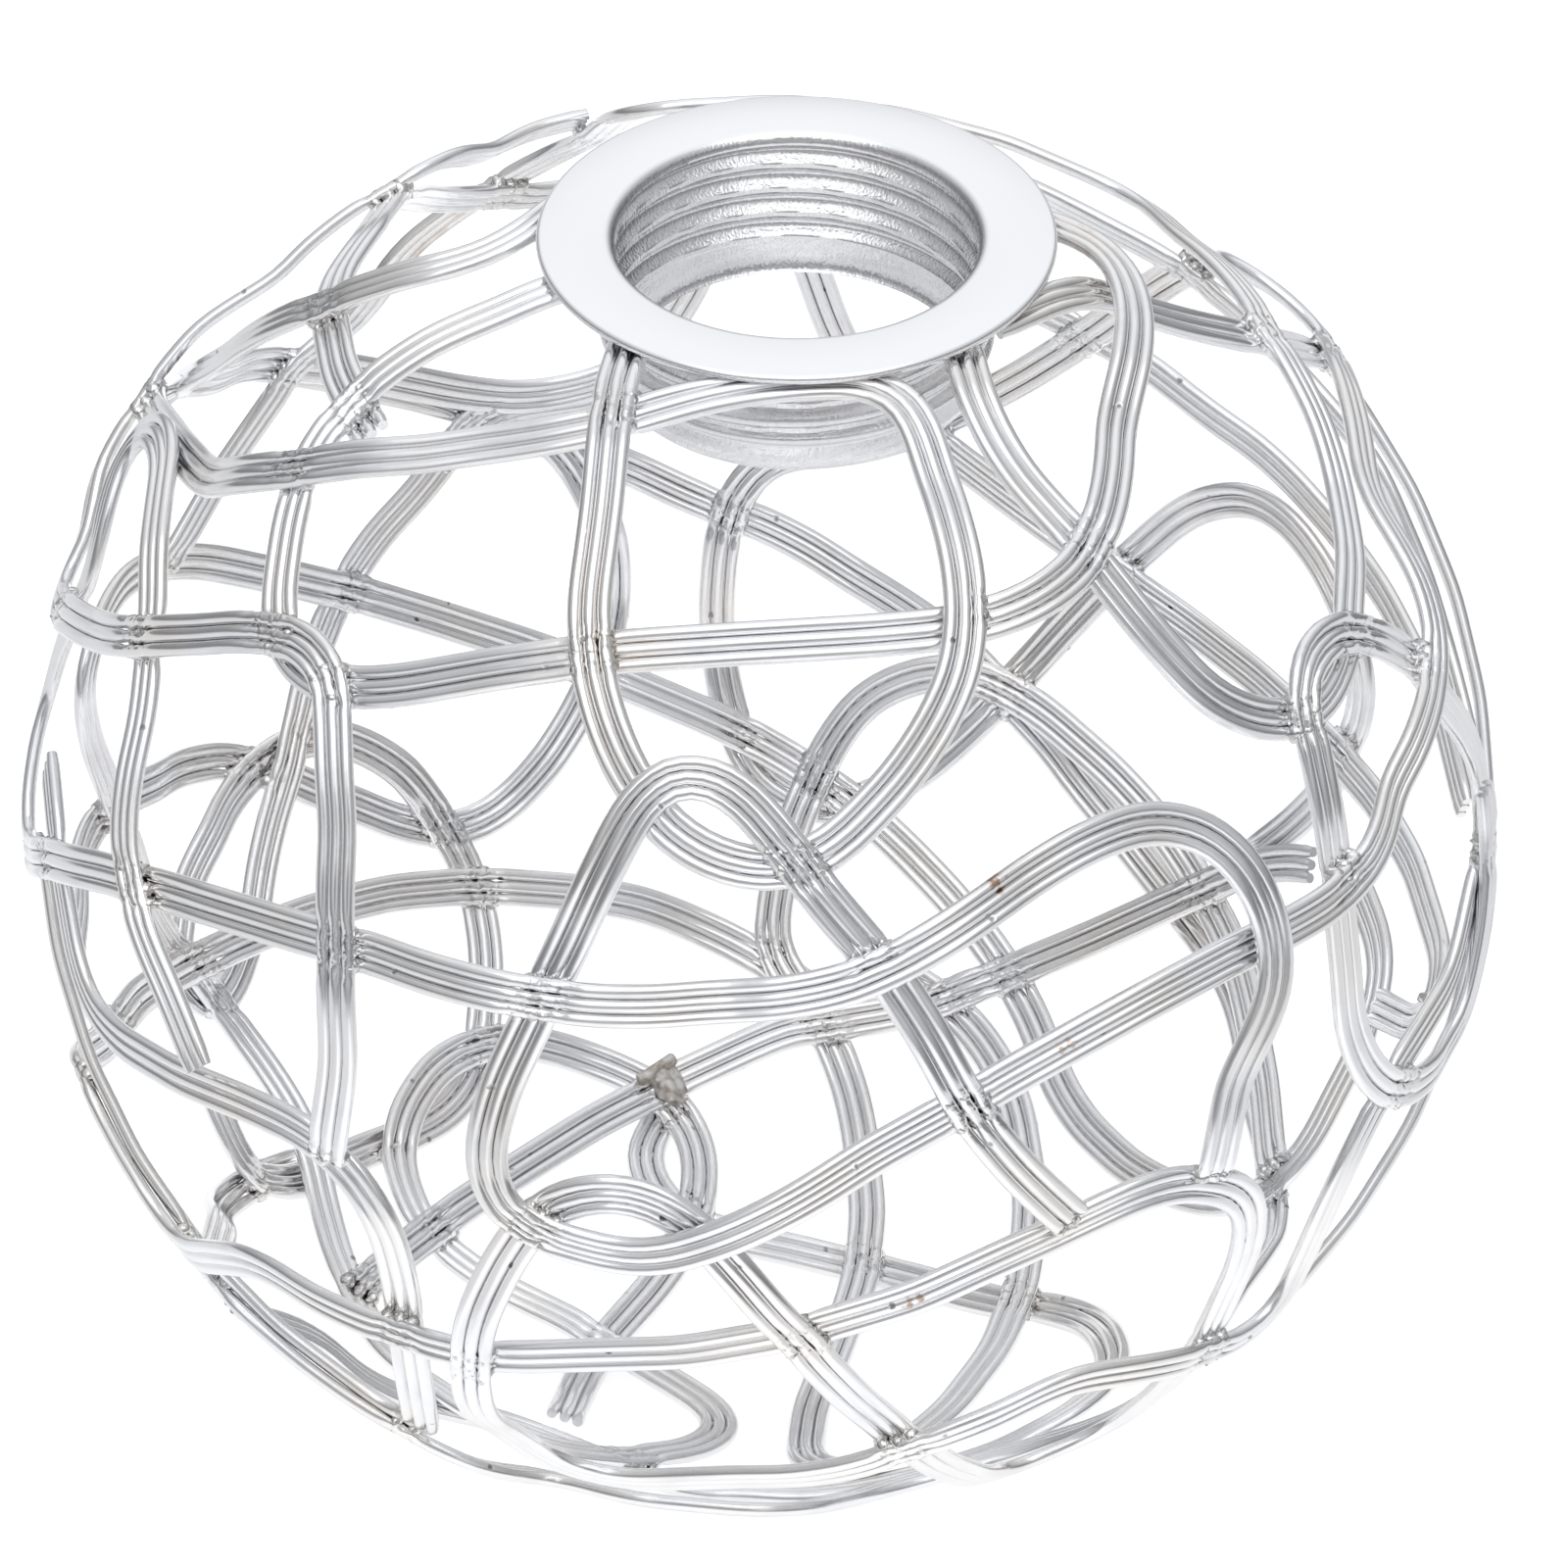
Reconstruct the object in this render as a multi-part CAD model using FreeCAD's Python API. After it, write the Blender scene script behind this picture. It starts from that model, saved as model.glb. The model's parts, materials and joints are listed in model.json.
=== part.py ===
import math
import os

import FreeCAD
import Part

# Wire globe shade: flat bands of three round wires, bent over a globe and welded where they cross,
# with a threaded collar on top. Millimetres, Z up along the collar, seen side towards -Y.

# Globe, measured to the middle of the innermost wires, with its centre left of the collar axis
GLOBE_R = 58.4
GLOBE_FLATTEN = 0.958
COLLAR_SHIFT = 2.4
FLANGE_ABOVE_CENTRE = 54.84

# Wire, its spacing in a band, the gap under a band laid over it and the run up to it, then the tightest
# bend of a band and the radius at which its runs are eased into each other
WIRE_D = 1.0
WIRE_PITCH = 1.13
LAY_GAP = 0.1
SIDE_ROOM = 0.6
RAMP = 10.0
BEND_R = 2.8
SOFT_R = 20.0

# Collar: flange, bore at the crests of the rolled thread, wall and thread
FLANGE_R = 20.0
FLANGE_T = 0.8
COLLAR_DEPTH = 12.4
BORE_R = 14.0
COLLAR_WALL = 0.6
THREAD_PITCH = 2.25
THREAD_DEPTH = 0.75
THREAD_TURNS = 4
CREST = 0.5
ENTRY_R = 0.9
LIP_R = 13.4
LIP_H = 1.8
RIM_CLEAR = 2.2

# Sampling along a band, its rounding, the limits between the stations where its wires turn, and the
# most of a run that a turn may take
FINE = 1.5
ROUNDING = 3
EASING = 36
STATION_TURN = 0.22
STATION_MOST = 6
STATION_RAISED = 3
STATION_RIM = 2
BEND_SHARE = 0.45

os.makedirs("parts", exist_ok=True)

# Band routes on a front view, tilted down by VIEW_TILT from an eye EYE radii away.
# SHEET_R units are one globe radius, measured from SHEET_X, SHEET_Y with y down.
# Points are on the near or the far side of the globe, or on its rim. Bands are in laying order.
VIEW_TILT = math.radians(37.2)
EYE = 10.0
SHEET_R = 755.4
SHEET_X = 781.0
SHEET_Y = 818.9
SHEET_BALL = 0.985
SHEET_FLATTEN = 0.956

ROUTES = {}
# Over the left shoulder, round behind the collar and down the right side
ROUTES["shoulder_band"] = """
near 374,440 338,370 332,297 345,264 370,236 rim 405,208 far 450,198 500,195 560,193 640,176
720,160 800,152 880,152 960,160 1040,178 1060,190 1120,218 1245,292 1290,332 1340,385 1380,430
1408,465 1440,530 1480,645 1495,705 1508,755
"""
# From the collar over the right shoulder and down the right edge
ROUTES["right_edge_band"] = """
near 1010,333 1108,308 1220,327 1290,342 1335,352 rim 1375,372 1408,420 1443,485 1473,555 1517,690
1532,755 1540,830 1526,950 1498,1070 1445,1175 1372,1285 near 1335,1330
"""
# Up the back left, behind the collar and back in a long loop on the right
ROUTES["right_shoulder_band"] = """
far 165,575 205,503 275,400 312,353 365,318 392,275 480,212 530,181 575,160 612,130 rim 650,104
730,96 813,93 900,97 980,114 far 1100,160 rim 1160,196 near 1210,236 1250,282 1310,372 1368,470
1388,590 1378,675 1338,733 1255,722 1170,635 1125,572 1050,493 990,410 980,345
"""
# From the collar over the left edge, then in an arch across the back
ROUTES["back_arch_band"] = """
near 575,195 552,220 480,260 400,290 300,328 260,345 222,362 rim 190,388 far 215,383 255,374
320,377 380,381 430,389 480,399 530,403 625,383 662,355 706,285 722,248 762,224 805,230 828,262
848,325 875,375 915,415 1030,503 1130,575 1200,622 1260,668 1315,712 1360,757 1400,802 1435,850
1458,905 1474,962 1482,1008 1470,1040 1440,1047 1410,1028
"""
# Rising across the low back from left to right
ROUTES["back_low_band"] = """
far 365,1318 415,1275 480,1226 540,1188 600,1150 660,1116 720,1092 810,1049 905,1041 985,1011
1060,983 1120,957 1190,926 1250,897 1300,879 1345,883
"""
# Tall figure of eight at the back
ROUTES["back_oval_band"] = """
far 1303,1190 1299,1140 1291,1080 1275,1012 1245,945 1212,885 1172,828 1130,778 1080,732 980,682
882,712 826,800 797,890 785,965 836,1035 860,1085 875,1140 883,1200 888,1250 882,1300 865,1350
848,1395 830,1435 820,1475 835,1508 880,1508 930,1478 975,1440 1012,1395 1035,1350 1050,1300
1056,1240 1050,1180 1036,1122 1008,1068 965,1018 915,990
"""
# Hook down the left edge and back up along it
ROUTES["left_edge_band"] = """
near 42,778 48,838 55,900 77,1010 97,1048 132,1078 200,1113 260,1136 320,1167 365,1215 393,1268
406,1325 412,1378 420,1425 418,1462 rim 385,1455 300,1385 222,1288 150,1185 88,1070 50,960 32,862
"""
# The longest band, with two crossed loops low at the front and a hook on the right
ROUTES["low_band"] = """
far 835,1015 800,985 700,935 640,918 560,908 480,903 400,910 330,926 260,952 190,985 150,1008
122,1028 110,1055 rim 105,1095 118,1135 152,1222 near 187,1263 250,1292 340,1330 460,1374 550,1387
650,1391 800,1370 900,1345 1000,1302 1100,1254 1200,1212 1275,1222 1284,1255 1250,1345 1222,1388
1180,1432 1140,1478 1090,1507 1030,1520 975,1508 935,1485 905,1461 870,1425 830,1380 790,1340
715,1262 640,1220 560,1233 503,1305 488,1360 488,1405 508,1452 550,1493 610,1514 680,1519 760,1514
830,1502 900,1483 970,1458 1040,1434 1110,1411 1180,1391 1245,1371 1290,1342 1325,1303 1372,1210
1430,1095 1487,1005 1516,880 1522,825 1515,772 1490,725 1458,692 1425,665 1368,643 1323,682
1335,760 1358,850 1378,935 1382,1060 1398,1100 1424,1113 1455,1095 1482,1052 1500,990 1512,920
1515,855 1510,805
"""
# Down the back from the right, over the left side and into the base
ROUTES["back_diagonal_band"] = """
far 1390,905 1406,1000 1365,1105 1312,1193 1275,1218 1220,1222 1165,1202 1112,1155 1082,1108
1042,1015 1012,968 950,892 862,812 760,748 700,721 590,676 500,647 400,615 330,596 260,582 200,573
150,582 112,612 86,655 76,705 84,755 105,808 130,868 158,932 190,977 222,1008 246,1047 297,1135
331,1230 368,1325 392,1368 430,1412 540,1478 600,1492 660,1493 715,1483 742,1465 732,1445 690,1418
610,1370 530,1320 440,1257 406,1175 415,1125 450,1083 505,1062 560,1065 670,1106 703,1140 717,1185
712,1232 692,1282 655,1325 615,1366 592,1408 574,1452
"""
# Two tall loops at the back left
ROUTES["back_left_band"] = """
far 690,378 640,398 590,407 492,425 438,490 362,583 316,690 285,800 272,870 264,930 257,985
243,1018 216,1030 196,1003 196,950 208,880 240,815 285,768 333,748 385,765 430,805 486,900
500,1010 480,1110 440,1145 390,1160 340,1185 300,1202 258,1188 205,1105
"""
# From the collar round the front and up to the collar again
ROUTES["collar_band"] = """
near 600,268 555,292 500,317 400,380 362,410 318,470 277,600 287,668 345,704 400,700 500,682
600,667 700,658 800,654 900,647 985,639 1050,620 1103,580 1127,530 1138,450 1145,350 1132,296
1100,262 1050,228
"""
# From the left back over the front in a long oval up to the collar
ROUTES["oval_band"] = """
far 120,1058 90,1018 75,965 78,905 92,853 122,818 160,800 205,783 250,774 330,803 430,844 480,847
520,825 565,767 600,715 620,655 629,595 620,540 575,460 530,438 460,420 400,403 330,391 255,383
205,394 rim 168,420 near 180,458 205,487 250,495 312,489 400,475 500,450 550,443 650,423 750,398
800,389 895,391 924,412 960,500 981,600 981,680 917,800 815,889 745,886 672,843 622,750 600,655
611,550 618,500 630,400 645,322
"""
# Loop at the back, then over the right edge and twice across the front
ROUTES["front_cross_band"] = """
far 1275,872 1350,806 1388,708 1372,605 1310,518 1262,503 1210,522 1165,560 1125,598 1080,645
1030,700 935,787 850,826 775,798 736,690 731,620 742,518 790,458 840,462 900,455 1010,405 1060,372
1105,345 1150,311 1200,283 1245,266 1285,264 rim 1318,292 near 1345,345 1365,385 1385,435 1402,490
1420,550 1449,662 1432,762 1412,825 1392,877 1355,918 1300,952 1200,1010 1120,1055 1050,1093
985,1132 920,1168 850,1205 710,1266 650,1279 535,1250 500,1215 502,1125 530,1065 580,962 638,850
680,787 745,800 840,918 905,992 945,1052 985,1128 1030,1185 1092,1243
"""
# Long fall down the back right and round under the base
ROUTES["back_right_band"] = """
far 618,478 700,508 800,545 900,605 985,672 1025,716 1080,775 1120,827 1160,880 1205,937 1243,990
1274,1090 1286,1190 1286,1250 1270,1312 1243,1362 1205,1412 1150,1450 1080,1475 1000,1500 900,1527
rim 800,1546 720,1545 640,1532 far 560,1513 490,1492 430,1470 320,1408 262,1356 228,1316 217,1280
226,1242 248,1208 285,1187 325,1172
"""
# Across the base and back up the low back
ROUTES["base_band"] = """
far 245,1315 300,1350 350,1379 400,1407 500,1437 560,1458 620,1484 680,1508 750,1520 830,1519
900,1508 955,1493 1010,1482 1075,1460 1120,1432 1142,1400 1136,1370 1108,1342 1065,1328 1010,1325
960,1308 880,1288 780,1263 682,1227 656,1155 682,1125
"""
# Short fall at the back right
ROUTES["back_drop_band"] = """
far 1030,305 1115,348 1210,402 1290,468 1330,508 1390,582 1455,668 1478,720 1503,825
"""
# Across the front at the waist, with the narrow hairpin on the left
ROUTES["waist_band"] = """
near 1237,1196 1248,1140 1270,1060 1290,985 1275,918 1230,846 1150,843 1050,898 950,958 870,1001
770,1020 620,1027 480,1005 345,966 260,942 200,923 135,903 100,891 60,877 28,862 rim 15,830 32,745
46,692 near 62,640 97,562 134,483 150,448 162,433 174,465 161,550 147,650 137,750 131,800 133,895
170,1000 207,1088
"""
# Over the left edge, then level and straight down the front
ROUTES["left_drop_band"] = """
far 600,131 520,151 440,175 390,197 rim 290,264 200,358 128,460 106,508 near 92,545 78,573 68,603
77,631 103,646 130,653 200,650 260,646 333,668 344,800 345,900 346,1000 346,1100 335,1180
"""


def add(a, b, k=1.0):
    return (a[0] + k * b[0], a[1] + k * b[1], a[2] + k * b[2])


def dot(a, b):
    return a[0] * b[0] + a[1] * b[1] + a[2] * b[2]


def cross(a, b):
    return (a[1] * b[2] - a[2] * b[1], a[2] * b[0] - a[0] * b[2], a[0] * b[1] - a[1] * b[0])


def unit(a):
    n = math.sqrt(dot(a, a))
    return (a[0] / n, a[1] / n, a[2] / n)


def cast(u, v, side):
    """Point of the unit ball that lies under a point of the sheet."""
    back = (0.0, -math.cos(VIEW_TILT), math.sin(VIEW_TILT))
    up = (0.0, math.sin(VIEW_TILT), math.cos(VIEW_TILT))
    across = (u - SHEET_X) / (SHEET_R * EYE)
    rise = (SHEET_Y - v) / (SHEET_R * EYE)
    ray = add(add((across, 0.0, 0.0), back, -1.0), up, rise)
    tall = SHEET_BALL * SHEET_FLATTEN
    eye = (0.0, EYE * back[1] / SHEET_BALL, EYE * back[2] / tall)
    ray = (ray[0] / SHEET_BALL, ray[1] / SHEET_BALL, ray[2] / tall)
    a = dot(ray, ray)
    b = dot(eye, ray)
    room = b * b - a * (dot(eye, eye) - 1.0)
    if side == "rim" or room < 0.0:
        reach = -b / a
    elif side == "near":
        reach = (-b - math.sqrt(room)) / a
    else:
        reach = (-b + math.sqrt(room)) / a
    return unit(add(eye, ray, reach))


def read_route(text):
    points = []
    side = "near"
    for word in text.split():
        if "," in word:
            u, v = word.split(",")
            points.append(cast(float(u), float(v), side))
        else:
            side = word
    return points


def blend(a, b, w):
    return add(add((0.0, 0.0, 0.0), a, 1.0 - w), b, w)


def curve_through(points):
    """Dense samples of a smooth curve over the unit ball through the points."""
    first = blend(points[0], points[1], -1.0)
    last = blend(points[-1], points[-2], -1.0)
    p = [first] + points + [last]
    curve = []
    for i in range(1, len(p) - 2):
        k = [0.0]
        for j in range(i, i + 3):
            k.append(k[-1] + math.sqrt(math.dist(p[j - 1], p[j])))
        count = max(4, int(math.dist(p[i], p[i + 1]) * GLOBE_R))
        for n in range(count):
            t = k[1] + (k[2] - k[1]) * n / count
            a = [blend(p[i + j - 1], p[i + j], (t - k[j]) / (k[j + 1] - k[j])) for j in range(3)]
            b = [blend(a[j], a[j + 1], (t - k[j]) / (k[j + 2] - k[j])) for j in range(2)]
            curve.append(unit(blend(b[0], b[1], (t - k[1]) / (k[2] - k[1]))))
    curve.append(points[-1])
    return curve


def even(curve):
    """Samples about FINE apart along the curve on the globe."""
    run = [0.0]
    for a, b in zip(curve, curve[1:]):
        run.append(run[-1] + math.dist(a, b) * GLOBE_R)
    count = max(8, round(run[-1] / FINE))
    out = []
    j = 0
    for n in range(count + 1):
        want = run[-1] * n / count
        while j < len(run) - 2 and run[j + 1] < want:
            j += 1
        out.append(unit(blend(curve[j], curve[j + 1], (want - run[j]) / (run[j + 1] - run[j]))))
    return out


def smooth(points):
    """Even samples of a route, faired, with no bend tighter than BEND_R."""
    balls = even(curve_through(points))
    for n in range(EASING):
        soft = list(balls)
        for i in range(1, len(balls) - 1):
            mid = blend(balls[i - 1], balls[i + 1], 0.5)
            span = math.dist(balls[i - 1], balls[i + 1]) / 2
            bow = 2 * math.dist(balls[i], mid)
            if n < ROUNDING or bow * BEND_R > span * span * GLOBE_R:
                soft[i] = unit(blend(balls[i], mid, 0.5))
        balls = soft
    return even(balls)


CENTRE = (-COLLAR_SHIFT, 0.0, COLLAR_DEPTH / 2 - FLANGE_ABOVE_CENTRE)
LAYER = WIRE_D + LAY_GAP
REACH = 2 * WIRE_PITCH + WIRE_D + SIDE_ROOM
OWN_RUN = 15.0
TOP = 0.5
UNDER_FLANGE = COLLAR_DEPTH / 2 - FLANGE_T - WIRE_D / 2 - LAY_GAP
TUBE_R = BORE_R + THREAD_DEPTH + COLLAR_WALL


def place(ball, lift):
    """Point in space over a unit-ball point, lifted off the globe."""
    spot = (GLOBE_R * ball[0], GLOBE_R * ball[1], GLOBE_R * GLOBE_FLATTEN * ball[2])
    return add(add(spot, ball, lift), CENTRE)


def ramped(need):
    """Lift along a band that meets every need and runs up to it and down from it gently."""
    flat = REACH / 2
    reach = int((flat + RAMP) / FINE) + 1
    lift = []
    for i in range(len(need)):
        most = 0.0
        for j in range(max(0, i - reach), min(len(need), i + reach + 1)):
            away = min(RAMP, max(0.0, abs(i - j) * FINE - flat))
            most = max(most, need[j] * (1 + math.cos(math.pi * away / RAMP)) / 2)
        lift.append(most)
    return lift


def lay(bands):
    """Lift of every sample: a band rides one layer over each band, or earlier run, that it crosses."""
    laid = {}
    lifts = {}
    own = int(OWN_RUN / FINE)
    for name, balls in bands.items():
        spots = [place(b, 0.0) for b in balls]
        need = []
        for spot in spots:
            most = 0.0
            key = [math.floor(c / REACH) for c in spot]
            for n in range(27):
                near = (key[0] + n % 3 - 1, key[1] + n // 3 % 3 - 1, key[2] + n // 9 - 1)
                for other, high in laid.get(near, ()):
                    if math.dist(spot, other) < REACH:
                        most = max(most, high + LAYER)
            need.append(most)
        for i, ball in enumerate(balls):
            if math.hypot(spots[i][0], spots[i][1]) < FLANGE_R and ball[2] > TOP:
                need[i] = max(need[i], (UNDER_FLANGE - spots[i][2]) / ball[2])
        lift = ramped(need)
        twice = [(i, j) for i in range(len(spots)) for j in range(i - own)]
        twice = [(i, j) for i, j in twice if math.dist(spots[i], spots[j]) < REACH]
        for n in range(3):
            for i, j in twice:
                need[i] = max(need[i], lift[j] + LAYER)
            lift = ramped(need)
        for i, ball in enumerate(balls):
            off = math.hypot(spots[i][0], spots[i][1]) - FLANGE_R - RIM_CLEAR
            if off < RAMP and ball[2] > TOP:
                lift[i] = min(lift[i], (UNDER_FLANGE - spots[i][2]) / ball[2] + max(0.0, off))
        lifts[name] = lift
        for spot, high in zip(spots, lift):
            laid.setdefault(tuple(math.floor(c / REACH) for c in spot), []).append((spot, high))
    return lifts


def pick(spots, lift):
    """Samples that serve as stations: close together in bends and ramps, far apart on plain runs."""
    chosen = [0]
    turn = 0.0
    for i in range(1, len(spots) - 1):
        into = unit(add(spots[i], spots[i - 1], -1.0))
        out = unit(add(spots[i + 1], spots[i], -1.0))
        turn += math.acos(max(-1.0, min(1.0, dot(into, out))))
        most = STATION_RAISED if lift[i] > 0 else STATION_MOST
        if spots[i][2] > 0 and math.hypot(spots[i][0], spots[i][1]) < FLANGE_R + RAMP:
            most = STATION_RIM
        if turn > STATION_TURN or i - chosen[-1] >= most:
            if i - chosen[-1] > 1 and len(spots) - i > 2:
                chosen.append(i)
                turn = 0.0
    return chosen + [len(spots) - 1]


def wire_stations(balls, lift, side):
    """Stations of one wire of a band, side wires lying WIRE_PITCH to either hand."""
    spots = [place(b, h) for b, h in zip(balls, lift)]
    out = []
    for i in pick(spots, lift):
        ahead = spots[min(i + 1, len(spots) - 1)]
        behind = spots[max(i - 1, 0)]
        hand = unit(cross(balls[i], add(ahead, behind, -1.0)))
        p = add(spots[i], hand, side * WIRE_PITCH)
        if math.hypot(p[0], p[1]) < FLANGE_R + RIM_CLEAR:
            p = (p[0], p[1], min(p[2], UNDER_FLANGE))
        out.append(p)
    return out


def vec(a):
    return FreeCAD.Vector(a[0], a[1], a[2])


def make_wire(p):
    """Round wire along straight runs, with a soft bend at every station."""
    edges = []
    start = p[0]
    for before, here, after in zip(p, p[1:], p[2:]):
        a = unit(add(here, before, -1.0))
        b = unit(add(after, here, -1.0))
        half = math.acos(min(1.0, dot(a, b))) / 2
        run = min(math.dist(before, here), math.dist(here, after))
        back = min(SOFT_R * math.tan(half), BEND_SHARE * run)
        inside = back / math.tan(half) * (1 / math.cos(half) - 1)
        bend = (add(here, a, -back), add(here, unit(add(b, a, -1.0)), inside), add(here, b, back))
        edges.append(Part.makeLine(vec(start), vec(bend[0])))
        edges.append(Part.Arc(vec(bend[0]), vec(bend[1]), vec(bend[2])).toShape())
        start = bend[2]
    edges.append(Part.makeLine(vec(start), vec(p[-1])))
    spine = Part.Wire(edges)
    ring = Part.Wire(Part.makeCircle(WIRE_D / 2, vec(p[0]), vec(add(p[1], p[0], -1.0))))
    solid = spine.makePipeShell([ring], True, False)
    if solid.Volume < 0:
        solid.reverse()
    return solid


def make_collar():
    """Flange, rounded entry, rolled thread and the lip turned in at the foot, as one turned section."""
    top = COLLAR_DEPTH / 2
    foot = -COLLAR_DEPTH / 2
    start = top - ENTRY_R
    groove = THREAD_PITCH - CREST
    inner = [(BORE_R, start)]
    bulge = []
    z = start
    for n in range(THREAD_TURNS):
        inner.append((BORE_R, z - CREST))
        bulge.append((BORE_R + THREAD_DEPTH, z - CREST - groove / 2))
        inner.append((BORE_R, z - THREAD_PITCH))
        z -= THREAD_PITCH
    edges = []

    def line(a, b):
        edges.append(Part.makeLine(FreeCAD.Vector(a[0], 0, a[1]), FreeCAD.Vector(b[0], 0, b[1])))

    def bow(a, m, b):
        spots = [FreeCAD.Vector(q[0], 0, q[1]) for q in (a, m, b)]
        edges.append(Part.Arc(spots[0], spots[1], spots[2]).toShape())

    k = math.sqrt(0.5)
    brim = FLANGE_T / 2
    line((BORE_R + ENTRY_R, top), (FLANGE_R - brim, top))
    bow((FLANGE_R - brim, top), (FLANGE_R, top - brim), (FLANGE_R - brim, top - FLANGE_T))
    under = (BORE_R + COLLAR_WALL, top - FLANGE_T)
    line((FLANGE_R - brim, top - FLANGE_T), under)
    outside = [(r + COLLAR_WALL, h) for r, h in inner]
    swell = [(r + COLLAR_WALL, h) for r, h in bulge]
    line(under, outside[1])
    for n in range(THREAD_TURNS):
        bow(outside[1 + 2 * n], swell[n], outside[2 + 2 * n])
        if n < THREAD_TURNS - 1:
            line(outside[2 + 2 * n], outside[3 + 2 * n])
    line(outside[-1], (BORE_R + COLLAR_WALL, foot + LIP_H))
    turn = LIP_R - BORE_R
    hook_out = (BORE_R + COLLAR_WALL + turn * 0.3, foot + LIP_H * 0.4)
    bow((BORE_R + COLLAR_WALL, foot + LIP_H), hook_out, (LIP_R + COLLAR_WALL, foot))
    line((LIP_R + COLLAR_WALL, foot), (LIP_R, foot))
    hook_in = (BORE_R + turn * 0.3, foot + LIP_H * 0.4)
    bow((LIP_R, foot), hook_in, (BORE_R, foot + LIP_H))
    line((BORE_R, foot + LIP_H), inner[-1])
    for n in reversed(range(THREAD_TURNS)):
        bow(inner[2 + 2 * n], bulge[n], inner[1 + 2 * n])
        line(inner[1 + 2 * n], inner[2 * n])
    rounded = (BORE_R + ENTRY_R * (1 - k), start + ENTRY_R * k)
    bow(inner[0], rounded, (BORE_R + ENTRY_R, top))
    face = Part.Face(Part.Wire(edges))
    return face.revolve(FreeCAD.Vector(0, 0, 0), FreeCAD.Vector(0, 0, 1), 360)


def trim(balls):
    """Cut a band back to where it is welded under the flange, clear of the tube."""
    ends = TUBE_R + WIRE_PITCH + WIRE_D
    far = [math.hypot(*place(b, 0.0)[:2]) > ends or place(b, 0.0)[2] < CENTRE[2] for b in balls]
    return [b for b, clear in zip(balls, far) if clear]


bands = {name: trim(smooth(read_route(text))) for name, text in ROUTES.items()}
lifts = lay(bands)
for name, balls in bands.items():
    for number, side in enumerate((-1, 0, 1), start=1):
        solid = make_wire(wire_stations(balls, lifts[name], side))
        solid.exportStep("parts/%s_wire_%d.step" % (name, number))
make_collar().exportStep("parts/threaded_collar.step")
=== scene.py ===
import json
import math

import bpy
import numpy as np
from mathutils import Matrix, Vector, noise
from mathutils.kdtree import KDTree

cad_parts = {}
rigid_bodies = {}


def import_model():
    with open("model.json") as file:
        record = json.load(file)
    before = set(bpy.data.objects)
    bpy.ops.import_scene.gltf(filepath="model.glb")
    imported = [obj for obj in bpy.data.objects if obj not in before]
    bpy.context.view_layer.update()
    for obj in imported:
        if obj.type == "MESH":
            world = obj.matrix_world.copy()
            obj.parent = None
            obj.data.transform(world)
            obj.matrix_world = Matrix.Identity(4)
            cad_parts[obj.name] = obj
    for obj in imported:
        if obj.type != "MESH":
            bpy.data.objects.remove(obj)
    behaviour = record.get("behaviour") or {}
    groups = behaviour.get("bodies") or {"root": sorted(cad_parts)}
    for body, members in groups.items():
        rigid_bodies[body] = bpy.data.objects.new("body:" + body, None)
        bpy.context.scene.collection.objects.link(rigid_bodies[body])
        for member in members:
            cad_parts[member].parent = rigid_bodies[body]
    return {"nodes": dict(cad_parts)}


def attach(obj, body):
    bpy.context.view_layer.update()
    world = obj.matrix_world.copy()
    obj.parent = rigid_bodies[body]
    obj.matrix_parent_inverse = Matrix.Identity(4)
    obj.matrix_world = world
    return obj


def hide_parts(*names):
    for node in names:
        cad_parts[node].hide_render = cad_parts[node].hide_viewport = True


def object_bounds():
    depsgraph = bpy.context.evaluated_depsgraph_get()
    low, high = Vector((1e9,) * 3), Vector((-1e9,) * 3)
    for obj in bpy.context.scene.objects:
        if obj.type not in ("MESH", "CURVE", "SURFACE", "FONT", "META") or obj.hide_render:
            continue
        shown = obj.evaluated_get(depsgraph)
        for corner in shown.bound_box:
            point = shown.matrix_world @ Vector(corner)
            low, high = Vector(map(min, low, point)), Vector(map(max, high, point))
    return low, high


bpy.ops.object.select_all(action="SELECT")
bpy.ops.object.delete()
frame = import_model()
box_at_load = [list(corner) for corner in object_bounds()]


# Plated finish of wires, welds and collar: satin chrome over drawn steel, with dull patches and
# pinholes, a coarse speckle where it was welded and brown where the plating has let rust through
plate = bpy.data.node_groups.new("scuffed_plate", "ShaderNodeTree")
for socket in ("Streaks", "Specks", "Weld", "Rust"):
    plate.interface.new_socket(socket, in_out="INPUT", socket_type="NodeSocketFloat")
plate.interface.new_socket("Base", in_out="INPUT", socket_type="NodeSocketColor")
plate.interface.new_socket("Color", in_out="OUTPUT", socket_type="NodeSocketColor")
plate.interface.new_socket("Roughness", in_out="OUTPUT", socket_type="NodeSocketFloat")
plate.interface.new_socket("Height", in_out="OUTPUT", socket_type="NodeSocketFloat")
nodes = plate.nodes
links = plate.links
group_in = nodes.new("NodeGroupInput")
group_out = nodes.new("NodeGroupOutput")
coords = nodes.new("ShaderNodeTexCoord")


def plate_noise(scale, detail):
    texture = nodes.new("ShaderNodeTexNoise")
    texture.inputs["Scale"].default_value = scale
    texture.inputs["Detail"].default_value = detail
    links.new(coords.outputs["Object"], texture.inputs["Vector"])
    return texture.outputs["Fac"]


def plate_range(value, low, high, least, most):
    edge = nodes.new("ShaderNodeMapRange")
    edge.inputs["From Min"].default_value = low
    edge.inputs["From Max"].default_value = high
    edge.inputs["To Min"].default_value = least
    edge.inputs["To Max"].default_value = most
    links.new(value, edge.inputs["Value"])
    return edge.outputs["Result"]


def plate_product(first, second):
    times = nodes.new("ShaderNodeMath")
    times.operation = "MULTIPLY"
    links.new(first, times.inputs[0])
    links.new(second, times.inputs[1])
    return times.outputs["Value"]


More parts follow.
